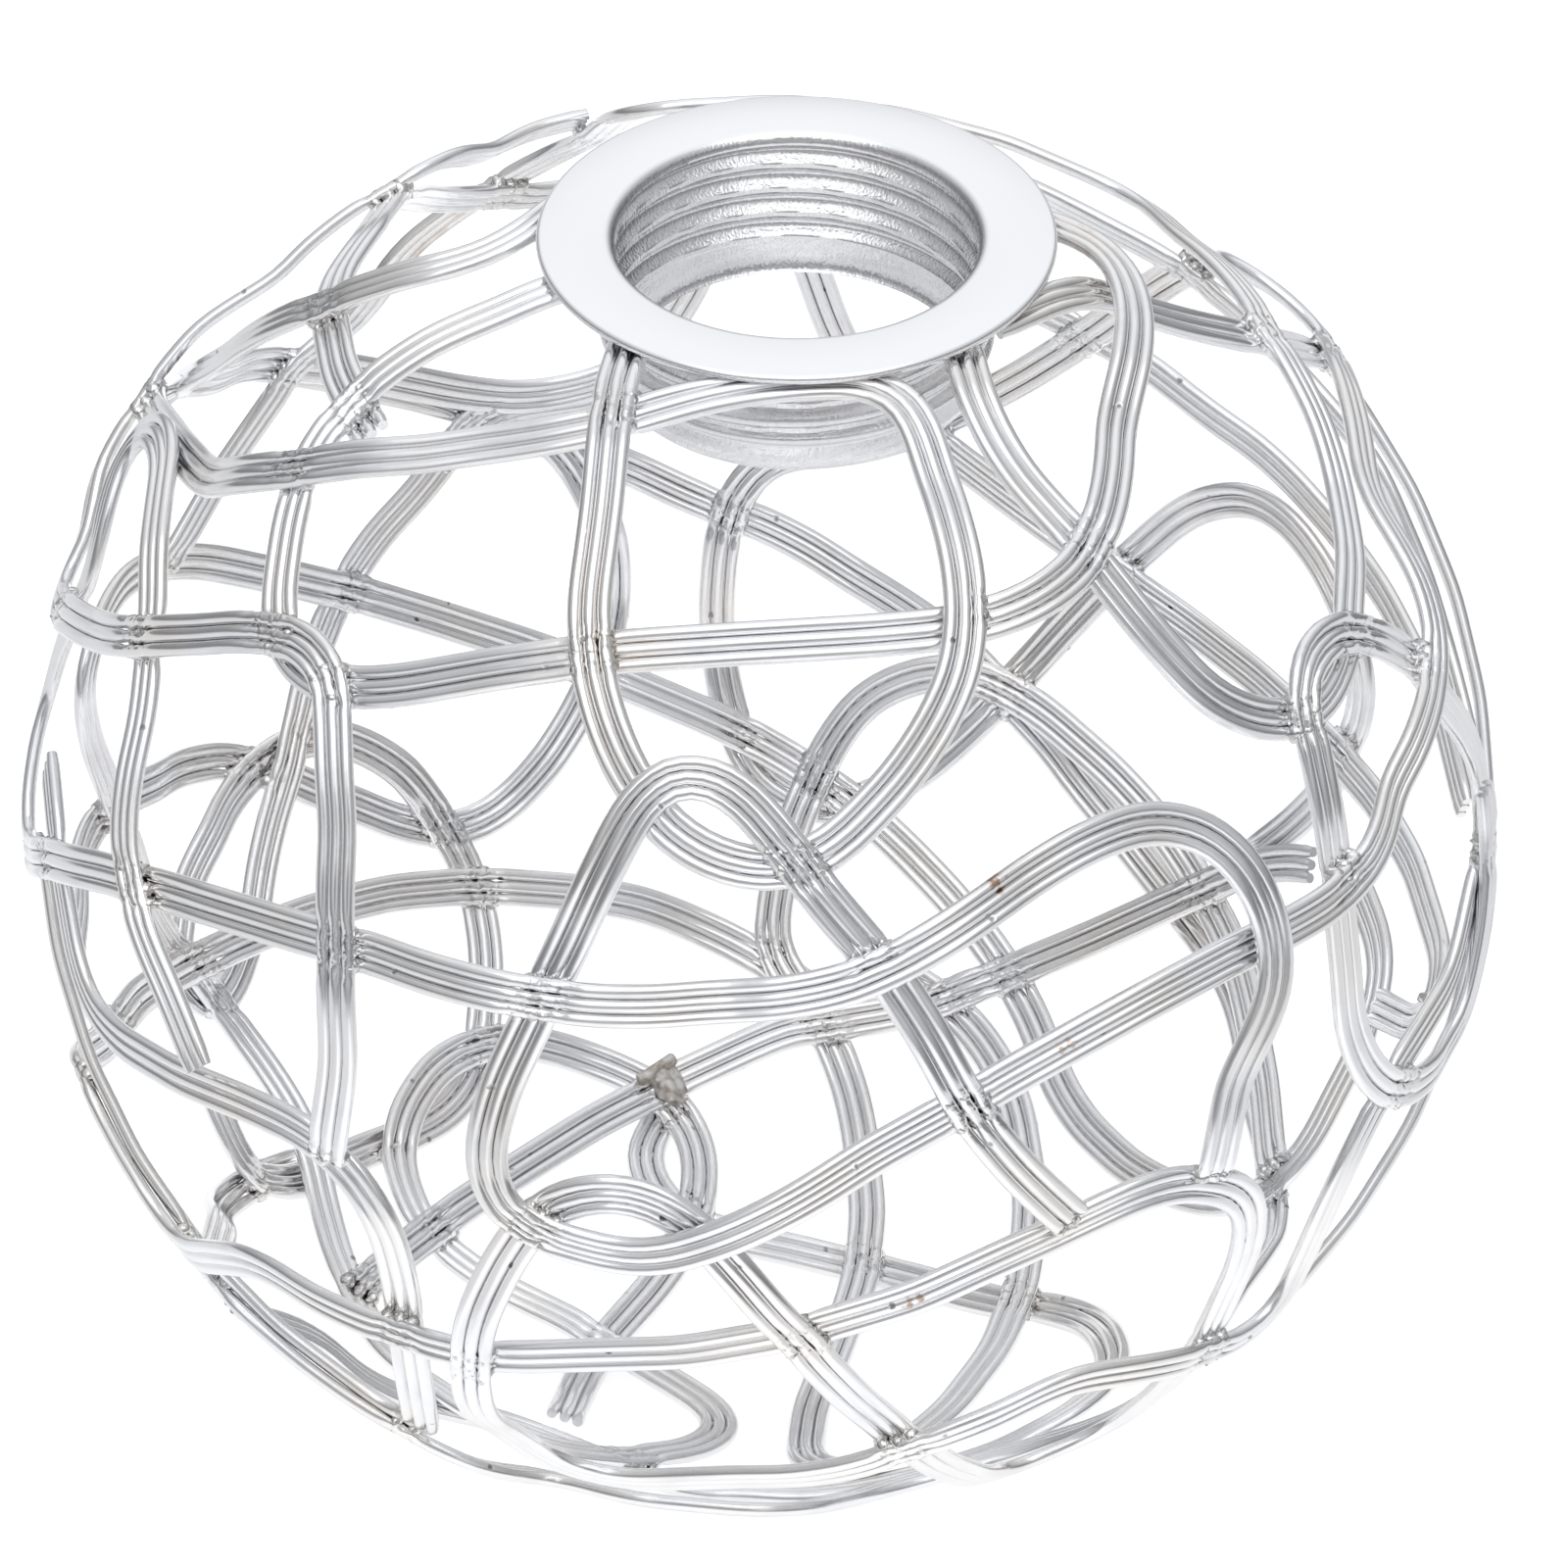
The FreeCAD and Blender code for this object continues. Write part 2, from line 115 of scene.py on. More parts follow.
def plate_mix(under, over, amount, blend="MIX"):
    mix = nodes.new("ShaderNodeMix")
    mix.data_type = "RGBA"
    mix.blend_type = blend
    mix.inputs["B"].default_value = over
    links.new(under, mix.inputs["A"])
    links.new(amount, mix.inputs["Factor"])
    return mix.outputs["Result"]


patches = plate_noise(260.0, 4.0)
crust = plate_noise(1500.0, 3.0)
stains = plate_noise(75.0, 6.0)
pits = nodes.new("ShaderNodeTexVoronoi")
pits.inputs["Scale"].default_value = 700.0
links.new(coords.outputs["Object"], pits.inputs["Vector"])
pinholes = plate_range(pits.outputs["Distance"], 0.08, 0.22, 1.0, 0.0)
chosen = nodes.new("ShaderNodeSeparateColor")
links.new(pits.outputs["Color"], chosen.inputs["Color"])
pinholes = plate_product(pinholes, plate_range(chosen.outputs["Red"], 0.95, 0.97, 0.0, 1.0))
blotches = plate_product(plate_range(patches, 0.56, 0.72, 0.0, 0.22), group_in.outputs["Specks"])
colour = plate_mix(group_in.outputs["Base"], (0.56, 0.56, 0.58, 1.0), blotches)
colour = plate_mix(colour, (0.72, 0.72, 0.73, 1.0), group_in.outputs["Streaks"], "MULTIPLY")
colour = plate_mix(colour, (0.16, 0.15, 0.14, 1.0), plate_product(pinholes, group_in.outputs["Specks"]))
warm = plate_product(plate_range(stains, 0.45, 0.70, 0.0, 1.0), group_in.outputs["Specks"])
colour = plate_mix(colour, (1.0, 0.96, 0.90, 1.0), warm, "MULTIPLY")
specks = plate_product(plate_range(stains, 0.70, 0.77, 0.0, 1.0), group_in.outputs["Specks"])
colour = plate_mix(colour, (0.34, 0.20, 0.10, 1.0), specks)
welded = plate_product(crust, group_in.outputs["Weld"])
colour = plate_mix(colour, (0.46, 0.45, 0.44, 1.0), plate_range(welded, 0.46, 0.60, 0.0, 0.8))
rusted = plate_product(crust, group_in.outputs["Rust"])
colour = plate_mix(colour, (0.40, 0.25, 0.14, 1.0), plate_range(rusted, 0.34, 0.46, 0.0, 0.9))
links.new(colour, group_out.inputs["Color"])
dull = nodes.new("ShaderNodeMath")
dull.operation = "MULTIPLY_ADD"
dull.inputs[1].default_value = -0.08
links.new(group_in.outputs["Weld"], dull.inputs[0])
links.new(plate_range(patches, 0.3, 0.75, 0.18, 0.26), dull.inputs[2])
links.new(dull.outputs["Value"], group_out.inputs["Roughness"])
lumpy = nodes.new("ShaderNodeMath")
lumpy.operation = "SUBTRACT"
links.new(pinholes, lumpy.inputs[1])
links.new(welded, lumpy.inputs[0])
links.new(lumpy.outputs["Value"], group_out.inputs["Height"])


# The wires' middle lines: each wire's solid is a round tube, so its surface points less one radius
# along their normals fall on the middle line, and its facets say which of these rings are neighbours
WIRE_R = 0.0005
CELL = 0.00025
RING_APART = 0.00035
RING_POINTS = 5
RING_SIDES = 6
middles = {}
for name in sorted(frame["nodes"]):
    if "_wire_" not in name:
        continue
    mesh = frame["nodes"][name].data
    count = len(mesh.vertices)
    spots = np.empty(count * 3)
    mesh.vertices.foreach_get("co", spots)
    normals = np.empty(count * 3, np.float32)
    mesh.vertex_normals.foreach_get("vector", normals)
    cloud = (spots - WIRE_R * normals).reshape(-1, 3)
    cells, owner, hits = np.unique(np.round(cloud / CELL), axis=0, return_inverse=True, return_counts=True)
    owner = owner.reshape(-1)
    centres = np.zeros((len(cells), 3))
    np.add.at(centres, owner, cloud)
    centres /= hits[:, None]
    ring_of = np.full(len(cells), -1)
    rings = np.empty((0, 3))
    for cell in np.argsort(-hits, kind="stable"):
        gaps = np.linalg.norm(rings - centres[cell], axis=1)
        if len(rings) and gaps.min() < RING_APART:
            ring_of[cell] = int(np.argmin(gaps))
        elif hits[cell] > RING_POINTS:
            ring_of[cell] = len(rings)
            rings = np.vstack([rings, centres[cell]])
    corner = np.empty(len(mesh.loops), np.int32)
    mesh.loops.foreach_get("vertex_index", corner)
    facets = ring_of[owner][corner].reshape(-1, 3)
    sides = np.vstack([facets[:, [0, 1]], facets[:, [1, 2]], facets[:, [2, 0]]])
    sides = np.sort(sides[(sides[:, 0] != sides[:, 1]) & (sides.min(axis=1) >= 0)], axis=1)
    sides, shared = np.unique(sides, axis=0, return_counts=True)
    beside = {ring: [] for ring in range(len(rings))}
    for (a, b), number in zip(sides, shared):
        if number > RING_SIDES:
            beside[int(a)].append(int(b))
            beside[int(b)].append(int(a))
    start = 0
    for sweep in range(2):
        came_from = {start: None}
        queue = [start]
        for ring in queue:
            for near in beside[ring]:
                if near not in came_from:
                    came_from[near] = ring
                    queue.append(near)
        start = queue[-1]
    line = []
    while start is not None:
        line.append(rings[start])
        start = came_from[start]
    middles[name] = np.array(line)


# Welds: where two wires cross at a slant and lie one on the other they are spot welded, so the
# nearest place of each such meeting is kept
FINE_STEP = 0.0004
FEWEST_STEPS = 24
EASING = 8
WELD_REACH = 0.0014
MOST_PARALLEL = 0.80
ONE_CROSSING = 12
WELDS_APART = 0.0008
fine_lines = {}
headings = {}
for name, line in middles.items():
    run = np.concatenate([[0.0], np.cumsum(np.linalg.norm(np.diff(line, axis=0), axis=1))])
    steps = np.linspace(0.0, run[-1], max(FEWEST_STEPS, int(run[-1] / FINE_STEP)))
    fine = np.stack([np.interp(steps, run, line[:, k]) for k in range(3)], 1)
    for n in range(EASING):
        fine[1:-1] = 0.5 * fine[1:-1] + 0.25 * (fine[:-2] + fine[2:])
    fine_lines[name] = fine
    heading = np.gradient(fine, axis=0)
    headings[name] = heading / np.linalg.norm(heading, axis=1)[:, None]
tree = KDTree(sum(len(line) for line in fine_lines.values()))
owners = []
for name, line in fine_lines.items():
    for i, p in enumerate(line):
        tree.insert(p, len(owners))
        owners.append((name, i))
tree.balance()
meetings = {}
for k, (name, i) in enumerate(owners):
    p = Vector(fine_lines[name][i])
    for q, other, gap in tree.find_range(p, WELD_REACH):
        other_name, j = owners[other]
        if other <= k or abs(headings[name][i] @ headings[other_name][j]) > MOST_PARALLEL:
            continue
        key = (name, other_name, i // ONE_CROSSING, j // ONE_CROSSING)
        if key not in meetings or gap < meetings[key][0]:
            meetings[key] = (gap, (p + q) / 2)
welds = []
for gap, spot in sorted(meetings.values(), key=lambda m: m[0]):
    if all((spot - w).length > WELDS_APART for w in welds):
        welds.append(spot)
weld_tree = KDTree(len(welds))
for k, spot in enumerate(welds):
    weld_tree.insert(spot, k)
weld_tree.balance()


# Bright plated wire: long streaks run along each wire, from its own length coordinate, and the welds
# and rusty places come from values kept on the surface
wire_metal = bpy.data.materials.new("wire")
wire_metal.use_nodes = True
nodes = wire_metal.node_tree.nodes
links = wire_metal.node_tree.links
shader = nodes["Principled BSDF"]
shader.inputs["Metallic"].default_value = 1.0
surface = nodes.new("ShaderNodeGroup")
surface.node_tree = plate
surface.inputs["Base"].default_value = (0.89, 0.89, 0.905, 1.0)
surface.inputs["Specks"].default_value = 0.7
uv = nodes.new("ShaderNodeUVMap")
uv.uv_map = "UVMap"
stretch = nodes.new("ShaderNodeMapping")
stretch.inputs["Scale"].default_value = (90.0, 5.0, 1.0)
links.new(uv.outputs["UV"], stretch.inputs["Vector"])
streak = nodes.new("ShaderNodeTexNoise")
streak.inputs["Scale"].default_value = 1.0
streak.inputs["Detail"].default_value = 3.0
links.new(stretch.outputs["Vector"], streak.inputs["Vector"])
streak_edge = nodes.new("ShaderNodeMapRange")
streak_edge.inputs["From Min"].default_value = 0.52
streak_edge.inputs["From Max"].default_value = 0.68
streak_edge.inputs["To Max"].default_value = 0.4
links.new(streak.outputs["Fac"], streak_edge.inputs["Value"])
links.new(streak_edge.outputs["Result"], surface.inputs["Streaks"])
weld_mask = nodes.new("ShaderNodeAttribute")
weld_mask.attribute_name = "near_weld"
links.new(weld_mask.outputs["Fac"], surface.inputs["Weld"])
rust_mask = nodes.new("ShaderNodeAttribute")
rust_mask.attribute_name = "rust"
links.new(rust_mask.outputs["Fac"], surface.inputs["Rust"])
links.new(surface.outputs["Color"], shader.inputs["Base Color"])
links.new(surface.outputs["Roughness"], shader.inputs["Roughness"])
drawn_way = nodes.new("ShaderNodeTangent")
drawn_way.direction_type = "UV_MAP"
drawn_way.uv_map = "UVMap"
links.new(drawn_way.outputs["Tangent"], shader.inputs["Tangent"])
shader.inputs["Anisotropic"].default_value = 0.5
shader.inputs["Anisotropic Rotation"].default_value = 0.25
bump = nodes.new("ShaderNodeBump")
bump.inputs["Strength"].default_value = 0.7
bump.inputs["Distance"].default_value = 0.0001
links.new(surface.outputs["Height"], bump.inputs["Height"])
links.new(bump.outputs["Normal"], shader.inputs["Normal"])


# Bands of three wires, each band one piece: the wires are drawn along their middle lines with softly
# cut ends, plated until they touch side by side, and pressed flat and lumpy where the welding tips
# gripped them
PLATED_R = 0.000562
middle = Vector((-0.0024, 0.0, -0.04864))
rusty = [
    Vector((0.0089, -0.0582, -0.0521)),
    Vector((0.0145, -0.0481, -0.0195)),
    Vector((0.0204, -0.0520, -0.0320)),
    Vector((0.0112, -0.0529, -0.0263)),
    Vector((-0.0154, -0.0574, -0.0560)),
    Vector((0.0096, -0.0195, 0.0037)),
    Vector((-0.0118, 0.0263, -0.0988)),
]
RUST_SPREAD = 0.0016
PRESSED = 0.00020
PRESS_RAMP = 0.0004
LUMP = 0.00014
HEAT_REACH = 0.0024
HEAT_SPREAD = 0.0010
FINER_NEAR = 0.0020
PLAIN_EVERY = 3
CUT_END = 0.8
WIRE_OFFSET = 0.7
bands = sorted({name.rsplit("_wire_", 1)[0] for name in fine_lines})
for order, band in enumerate(bands):
    members = [name for name in sorted(fine_lines) if name.rsplit("_wire_", 1)[0] == band]
    drawn = []
    for number, name in enumerate(members):
        fine = fine_lines[name]
        run = np.concatenate([[0.0], np.cumsum(np.linalg.norm(np.diff(fine, axis=0), axis=1))])
        kept = [i for i, p in enumerate(fine) if i % PLAIN_EVERY == 0 or weld_tree.find(p)[2] < FINER_NEAR]
        if kept[-1] != len(fine) - 1:
            kept.append(len(fine) - 1)
        line = fine[kept]
        bpy.ops.object.select_all(action="DESELECT")
        bpy.ops.curve.primitive_nurbs_path_add(location=(0.0, 0.0, 0.0))
        wire = bpy.context.object
        wire.data.splines.clear()
        wire.data.dimensions = "3D"
        wire.data.bevel_depth = PLATED_R
        wire.data.bevel_resolution = 6
        wire.data.use_fill_caps = True
        spline = wire.data.splines.new("POLY")
        spline.points.add(len(line) - 1)
        spline.points.foreach_set("co", np.hstack([line, np.ones((len(line), 1))]).ravel())
        spline.points[0].radius = CUT_END
        spline.points[-1].radius = CUT_END
        bpy.ops.object.convert(target="MESH")
        wire = bpy.context.object
        layer = wire.data.uv_layers[0]
        layer.name = "UVMap"
        values = np.empty(len(layer.data) * 2, np.float32)
        layer.data.foreach_get("uv", values)
        values = values.reshape(-1, 2)
        along = np.interp(values[:, 0] * (len(line) - 1), np.arange(len(line)), run[kept])
        values[:, 0] = along + WIRE_OFFSET * (3 * order + number)
        layer.data.foreach_set("uv", values.ravel())
        drawn.append(wire)
    bpy.ops.object.select_all(action="DESELECT")
    for wire in drawn:
        wire.select_set(True)
    bpy.context.view_layer.objects.active = drawn[0]
    bpy.ops.object.join()
    piece = bpy.context.object
    piece.name = band
    piece.data.name = band
    bpy.ops.object.shade_smooth_by_angle(angle=math.radians(50))
    near_weld = np.zeros(len(piece.data.vertices), np.float32)
    rust = np.zeros(len(piece.data.vertices), np.float32)
    moves = []
    for vertex in piece.data.vertices:
        co = vertex.co
        rust[vertex.index] = max(math.exp(-((co - p).length / RUST_SPREAD) ** 2) for p in rusty)
        spot, index, gap = weld_tree.find(co)
        if gap > HEAT_REACH:
            continue
        out = (co - middle).normalized()
        rise = (co - spot).dot(out)
        aside = (co - spot - rise * out).length
        near = math.exp(-((aside / HEAT_SPREAD) ** 2))
        near_weld[vertex.index] = near
        press = PRESSED * near * min(1.0, max(0.0, (abs(rise) - WIRE_R) / PRESS_RAMP))
        lump = noise.noise(co * 1400) + 0.6 * noise.noise(co * 3200)
        moves.append((vertex.index, vertex.normal * (LUMP * near * lump - press)))
    for index, move in moves:
        piece.data.vertices[index].co += move
    piece.data.attributes.new("near_weld", "FLOAT", "POINT").data.foreach_set("value", near_weld)
    piece.data.attributes.new("rust", "FLOAT", "POINT").data.foreach_set("value", rust)
    piece.data.materials.clear()
    piece.data.materials.append(wire_metal)
    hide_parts(*members)
    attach(piece, "root")


# Weld nuggets: small lumps of metal squeezed up between the wires at every weld, no two alike, of the
# same plated steel and left rough
NUGGET_WIDE = 0.00068
NUGGET_VARIES = 0.00014
NUGGET_TALL = 0.00094
NUGGET_LUMPY = 0.35
NUGGET_RUST = 0.0018
weld_metal = bpy.data.materials.new("weld")
weld_metal.use_nodes = True
nodes = weld_metal.node_tree.nodes
links = weld_metal.node_tree.links
shader = nodes["Principled BSDF"]
shader.inputs["Metallic"].default_value = 1.0
surface = nodes.new("ShaderNodeGroup")
surface.node_tree = plate
surface.inputs["Base"].default_value = (0.82, 0.82, 0.82, 1.0)
surface.inputs["Specks"].default_value = 1.0
surface.inputs["Weld"].default_value = 1.0
rust_mask = nodes.new("ShaderNodeAttribute")
rust_mask.attribute_name = "rust"
links.new(rust_mask.outputs["Fac"], surface.inputs["Rust"])
links.new(surface.outputs["Color"], shader.inputs["Base Color"])
links.new(surface.outputs["Roughness"], shader.inputs["Roughness"])
bump = nodes.new("ShaderNodeBump")
bump.inputs["Strength"].default_value = 0.5
bump.inputs["Distance"].default_value = 0.0001
links.new(surface.outputs["Height"], bump.inputs["Height"])
links.new(bump.outputs["Normal"], shader.inputs["Normal"])
bpy.ops.object.select_all(action="DESELECT")
bpy.ops.mesh.primitive_ico_sphere_add(subdivisions=2, radius=1.0, location=(0.0, 0.0, 0.0))
nuggets = bpy.context.object
nuggets.name = "weld_nuggets"
ball = [v.co.copy() for v in nuggets.data.vertices]
sides = [tuple(f.vertices) for f in nuggets.data.polygons]
corners = []
faces = []
for k, spot in enumerate(welds):
    wide = NUGGET_WIDE + NUGGET_VARIES * noise.noise(spot * 9000)
    turn = (spot - middle).to_track_quat("Z", "Y").to_matrix()
    first = len(corners)
    for d in ball:
        lump = 1.0 + NUGGET_LUMPY * noise.noise(d * 1.7 + Vector((3.1 * k, 0.7 * k, 1.3)))
        corners.append(spot + turn @ Vector((d.x * wide, d.y * wide, d.z * NUGGET_TALL)) * lump)
    faces.extend(tuple(first + i for i in side) for side in sides)
nuggets.data.clear_geometry()
nuggets.data.from_pydata(corners, [], faces)
nuggets.data.update()
bpy.ops.object.shade_smooth()
rust = [max(math.exp(-((c - p).length / NUGGET_RUST) ** 2) for p in rusty) for c in corners]
nuggets.data.attributes.new("rust", "FLOAT", "POINT").data.foreach_set("value", rust)
nuggets.data.materials.append(weld_metal)
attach(nuggets, "root")


# Burnt joint low at the back: one big rough lump of weld, brown from the heat, fuses the bands that
# cross there, and the cut end of a wire is left standing out of it
BURNT_ACROSS = 0.0021
BURNT_ALONG = 0.0013
BURNT_DEEP = 0.0009
burnt_metal = bpy.data.materials.new("burnt_weld")
burnt_metal.use_nodes = True
nodes = burnt_metal.node_tree.nodes
links = burnt_metal.node_tree.links
shader = nodes["Principled BSDF"]
shader.inputs["Metallic"].default_value = 0.7
shader.inputs["Roughness"].default_value = 0.5
coords = nodes.new("ShaderNodeTexCoord")
scorch = nodes.new("ShaderNodeTexNoise")
scorch.inputs["Scale"].default_value = 1100.0
scorch.inputs["Detail"].default_value = 4.0
links.new(coords.outputs["Object"], scorch.inputs["Vector"])
shade = nodes.new("ShaderNodeMix")
shade.data_type = "RGBA"
shade.inputs["A"].default_value = (0.40, 0.35, 0.30, 1.0)
shade.inputs["B"].default_value = (0.76, 0.74, 0.71, 1.0)
spread = nodes.new("ShaderNodeMapRange")
spread.inputs["From Min"].default_value = 0.35
spread.inputs["From Max"].default_value = 0.62
links.new(scorch.outputs["Fac"], spread.inputs["Value"])
links.new(spread.outputs["Result"], shade.inputs["Factor"])
links.new(shade.outputs["Result"], shader.inputs["Base Color"])
bump = nodes.new("ShaderNodeBump")
bump.inputs["Strength"].default_value = 0.6
bump.inputs["Distance"].default_value = 0.0001
links.new(scorch.outputs["Fac"], bump.inputs["Height"])
links.new(bump.outputs["Normal"], shader.inputs["Normal"])
joint_line = fine_lines["back_low_band_wire_2"]
at = int(np.argmin(np.linalg.norm(joint_line - np.array(rusty[-1]), axis=1)))
joint = Vector(joint_line[at])
inward = (middle - joint).normalized()
ahead = Vector(headings["back_low_band_wire_2"][at])
ahead *= 1.0 if ahead.x > 0 else -1.0
across = inward.cross(ahead).normalized()
across *= 1.0 if across.z > 0 else -1.0
bpy.ops.object.select_all(action="DESELECT")
bpy.ops.mesh.primitive_ico_sphere_add(subdivisions=4, radius=1.0, location=(0.0, 0.0, 0.0))
lump_piece = bpy.context.object
lump_piece.name = "burnt_joint"
for vertex in lump_piece.data.vertices:
    d = vertex.co.copy()
    size = 1.0 + 0.30 * noise.noise(d * 1.6) + 0.16 * noise.noise(d * 4.5)
    spread_out = BURNT_ACROSS * d.x * across + BURNT_ALONG * d.y * ahead + BURNT_DEEP * d.z * inward
    vertex.co = joint + 0.0004 * inward + size * spread_out
bpy.ops.object.select_all(action="DESELECT")
bpy.ops.curve.primitive_nurbs_path_add(location=(0.0, 0.0, 0.0))
stub = bpy.context.object
stub.data.splines.clear()
stub.data.dimensions = "3D"
stub.data.bevel_depth = PLATED_R
stub.data.bevel_resolution = 6
stub.data.use_fill_caps = True
stub_spline = stub.data.splines.new("POLY")
stub_spline.points.add(3)
root = joint + 0.0012 * across + 0.0007 * inward - 0.0022 * ahead
tip = root + 0.0038 * ahead + 0.0004 * across + 0.0003 * inward
for n, share in enumerate((0.0, 0.5, 0.95, 1.0)):
    stub_spline.points[n].co = (*root.lerp(tip, share), 1.0)
stub_spline.points[3].radius = 0.75
bpy.ops.object.convert(target="MESH")
stub = bpy.context.object
bpy.ops.object.select_all(action="DESELECT")
stub.select_set(True)
lump_piece.select_set(True)
bpy.context.view_layer.objects.active = lump_piece
bpy.ops.object.join()
bpy.ops.object.shade_smooth_by_angle(angle=math.radians(60))
lump_piece.data.materials.clear()
lump_piece.data.materials.append(burnt_metal)
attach(lump_piece, "root")


# Threaded collar, pressed from plated sheet: flange, rounded entry, wall and turned-in foot are spun
# from one section, and the rolled thread is pressed into the wall as a helix that fades at both ends
TOP = 0.0062
FOOT = -0.0062
FLANGE_R = 0.0200
FLANGE_T = 0.0008
BORE_R = 0.0140
LIP_R = 0.0134
LIP_H = 0.0018
WALL = 0.0006
ENTRY_R = 0.0009
PITCH = 0.00225
DEPTH = 0.00075
CREST = 0.0005
TURNS = 4
brim = FLANGE_T / 2
plain = FOOT + LIP_H
section = [(BORE_R + ENTRY_R, TOP), (0.5 * (BORE_R + FLANGE_R), TOP), (FLANGE_R - brim, TOP)]
for n in range(1, 9):
    a = math.pi / 2 - math.pi * n / 8
    section.append((FLANGE_R - brim + brim * math.cos(a), TOP - brim + brim * math.sin(a)))
section.append((BORE_R + WALL + 0.0002, TOP - FLANGE_T))
steps = 90
for n in range(steps + 1):
    section.append((BORE_R + WALL, TOP - FLANGE_T - 0.0002 + (plain - TOP + FLANGE_T + 0.0002) * n / steps))
for n in range(1, 9):
    a = math.pi / 2 * n / 8
    section.append((BORE_R + WALL - (BORE_R - LIP_R) * (1 - math.cos(a)), plain - LIP_H * math.sin(a)))
for n in range(8, -1, -1):
    a = math.pi / 2 * n / 8
    section.append((BORE_R - (BORE_R - LIP_R) * (1 - math.cos(a)), plain - LIP_H * math.sin(a)))
for n in range(1, steps + 1):
    section.append((BORE_R, plain + (TOP - ENTRY_R - plain) * n / steps))
for n in range(1, 7):
    a = math.pi / 2 * n / 7
    section.append((BORE_R + ENTRY_R * (1 - math.cos(a)), TOP - ENTRY_R * (1 - math.sin(a))))
bpy.ops.object.select_all(action="DESELECT")
bpy.ops.mesh.primitive_plane_add(location=(0.0, 0.0, 0.0))
collar = bpy.context.object
collar.name = "collar_with_thread"
collar.data.clear_geometry()
edges = [(i, (i + 1) % len(section)) for i in range(len(section))]
collar.data.from_pydata([(r, 0.0, z) for r, z in section], edges, [])
bpy.ops.object.mode_set(mode="EDIT")
bpy.ops.mesh.select_all(action="SELECT")
bpy.ops.mesh.spin(steps=200, angle=2 * math.pi, center=(0.0, 0.0, 0.0), axis=(0.0, 0.0, 1.0))
bpy.ops.mesh.select_all(action="SELECT")
bpy.ops.mesh.remove_doubles(threshold=0.000005)
bpy.ops.mesh.normals_make_consistent(inside=False)
bpy.ops.object.mode_set(mode="OBJECT")
thread_top = TOP - ENTRY_R
thread_end = thread_top - TURNS * PITCH
for vertex in collar.data.vertices:
    r = math.hypot(vertex.co.x, vertex.co.y)
    z = vertex.co.z
    if r < BORE_R + WALL + 0.0001 and plain < z < thread_top:
        turn = math.atan2(vertex.co.y, vertex.co.x) / (2 * math.pi)
        phase = ((thread_top - z) / PITCH + turn) % 1.0
        groove = max(0.0, (phase - CREST / PITCH) / (1.0 - CREST / PITCH))
        fade = min(1.0, max(0.0, (thread_top - z) / 0.0008)) * min(1.0, max(0.0, (z - thread_end) / 0.0010))
        push = DEPTH * fade * math.sin(math.pi * groove) ** 0.8
        vertex.co.x *= (r + push) / r
        vertex.co.y *= (r + push) / r
bpy.ops.object.shade_smooth_by_angle(angle=math.radians(40))
collar_metal = bpy.data.materials.new("collar")
collar_metal.use_nodes = True
nodes = collar_metal.node_tree.nodes
links = collar_metal.node_tree.links
shader = nodes["Principled BSDF"]
shader.inputs["Metallic"].default_value = 1.0
surface = nodes.new("ShaderNodeGroup")
surface.node_tree = plate
surface.inputs["Base"].default_value = (0.79, 0.79, 0.805, 1.0)
surface.inputs["Specks"].default_value = 0.15
coords = nodes.new("ShaderNodeTexCoord")
place = nodes.new("ShaderNodeSeparateXYZ")
links.new(coords.outputs["Object"], place.inputs["Vector"])
# The flange's top face gets a much lighter base colour than the rest of the same plated sheet. This is
# painted light: it stands in for the brightness the top face takes from the light overhead.
on_flange = nodes.new("ShaderNodeMapRange")
on_flange.inputs["From Min"].default_value = TOP - 0.0004
on_flange.inputs["From Max"].default_value = TOP - 0.0001
links.new(place.outputs["Z"], on_flange.inputs["Value"])
flange_painted_light = nodes.new("ShaderNodeMix")
flange_painted_light.data_type = "RGBA"
flange_painted_light.inputs["B"].default_value = (0.975, 0.98, 0.99, 1.0)
links.new(on_flange.outputs["Result"], flange_painted_light.inputs["Factor"])
links.new(surface.outputs["Color"], flange_painted_light.inputs["A"])
links.new(flange_painted_light.outputs["Result"], shader.inputs["Base Color"])
satin = nodes.new("ShaderNodeMix")
satin.inputs["B"].default_value = 0.30
links.new(on_flange.outputs["Result"], satin.inputs["Factor"])
polish = nodes.new("ShaderNodeMath")
polish.operation = "MULTIPLY"
polish.inputs[1].default_value = 0.30
links.new(surface.outputs["Roughness"], polish.inputs[0])
links.new(polish.outputs["Value"], satin.inputs["A"])
links.new(satin.outputs["Result"], shader.inputs["Roughness"])
grain = nodes.new("ShaderNodeTexNoise")
grain.inputs["Scale"].default_value = 1.0
grain.inputs["Detail"].default_value = 3.0
upright = nodes.new("ShaderNodeMapping")
upright.inputs["Scale"].default_value = (4500.0, 4500.0, 1500.0)
links.new(coords.outputs["Object"], upright.inputs["Vector"])
links.new(upright.outputs["Vector"], grain.inputs["Vector"])
bump = nodes.new("ShaderNodeBump")
bump.inputs["Distance"].default_value = 0.0001
off_flange = nodes.new("ShaderNodeMapRange")
off_flange.inputs["To Min"].default_value = 0.6
off_flange.inputs["To Max"].default_value = 0.0
links.new(on_flange.outputs["Result"], off_flange.inputs["Value"])
links.new(off_flange.outputs["Result"], bump.inputs["Strength"])
links.new(grain.outputs["Fac"], bump.inputs["Height"])
links.new(bump.outputs["Normal"], shader.inputs["Normal"])
collar.data.materials.append(collar_metal)
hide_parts("threaded_collar")
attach(collar, "root")


